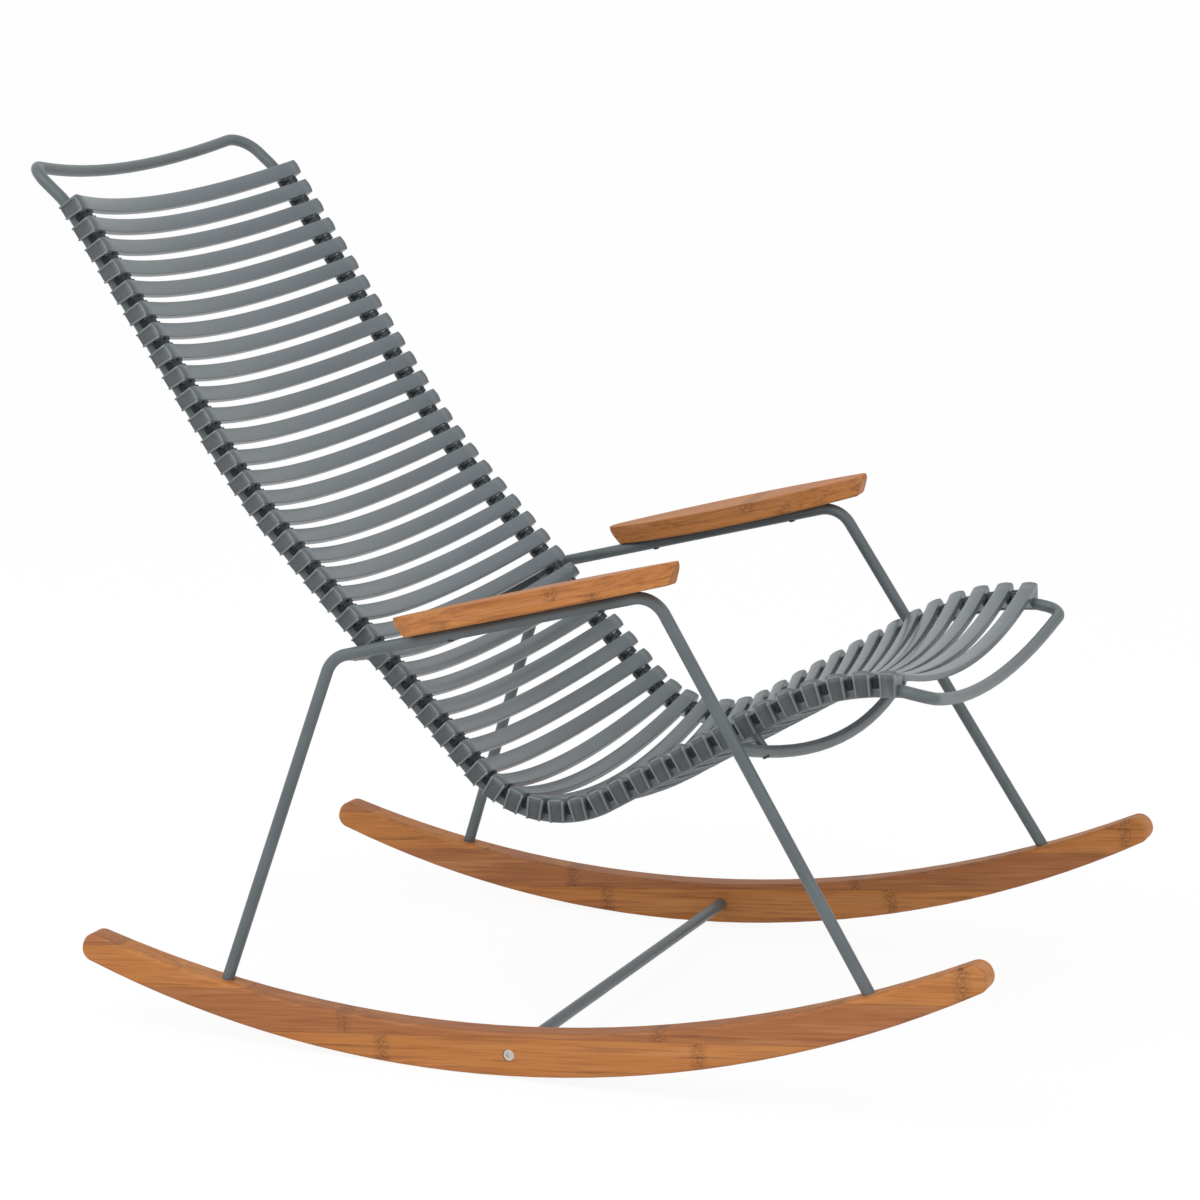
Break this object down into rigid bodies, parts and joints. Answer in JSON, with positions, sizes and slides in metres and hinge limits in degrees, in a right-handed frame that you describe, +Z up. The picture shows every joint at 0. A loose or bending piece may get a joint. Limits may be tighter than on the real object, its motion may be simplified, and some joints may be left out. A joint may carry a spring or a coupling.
{
  "type": "rocking chair",
  "caption": "Low lounge rocking chair: a curved shell of clipped slats on a bent round-bar frame, with bamboo armrests and bamboo rockers.",
  "frame": {"origin": "middle of the line where the two rockers touch the floor", "axes": "+X the way the sitter faces, +Y the sitter's left, +Z up"},
  "size_m": [1.043, 0.6, 0.8513],
  "materials": {
    "frame": "satin",
    "slat": "matte",
    "bamboo": "satin",
    "screw": "satin"
  },
  "bodies": {
    "root": {"seat_frame": "frame", "side_frame_right": "frame", "side_frame_left": "frame", "front_cross_bar": "frame", "rear_cross_bar": "frame", "rocker_stretcher": "frame", "rocker_right": "bamboo", "rocker_left": "bamboo", "armrest_right": "bamboo", "armrest_left": "bamboo", "rocker_screws": "screw", "frame_screws": "screw", "slat_01": "slat", "slat_02": "slat", "slat_03": "slat", "slat_04": "slat", "slat_05": "slat", "slat_06": "slat", "slat_07": "slat", "slat_08": "slat", "slat_09": "slat", "slat_10": "slat", "slat_11": "slat", "slat_12": "slat", "slat_13": "slat", "slat_14": "slat", "slat_15": "slat", "slat_16": "slat", "slat_17": "slat", "slat_18": "slat", "slat_19": "slat", "slat_20": "slat", "slat_21": "slat", "slat_22": "slat", "slat_23": "slat", "slat_24": "slat", "slat_25": "slat", "slat_26": "slat", "slat_27": "slat", "slat_28": "slat", "slat_29": "slat", "slat_30": "slat", "slat_31": "slat", "slat_32": "slat", "slat_33": "slat", "slat_34": "slat", "slat_35": "slat", "slat_36": "slat", "slat_37": "slat", "slat_38": "slat", "slat_39": "slat", "slat_40": "slat", "slat_41": "slat", "slat_42": "slat", "slat_43": "slat", "slat_44": "slat", "slat_45": "slat", "slat_46": "slat", "slat_47": "slat", "slat_48": "slat"}
  },
  "joints": []
}
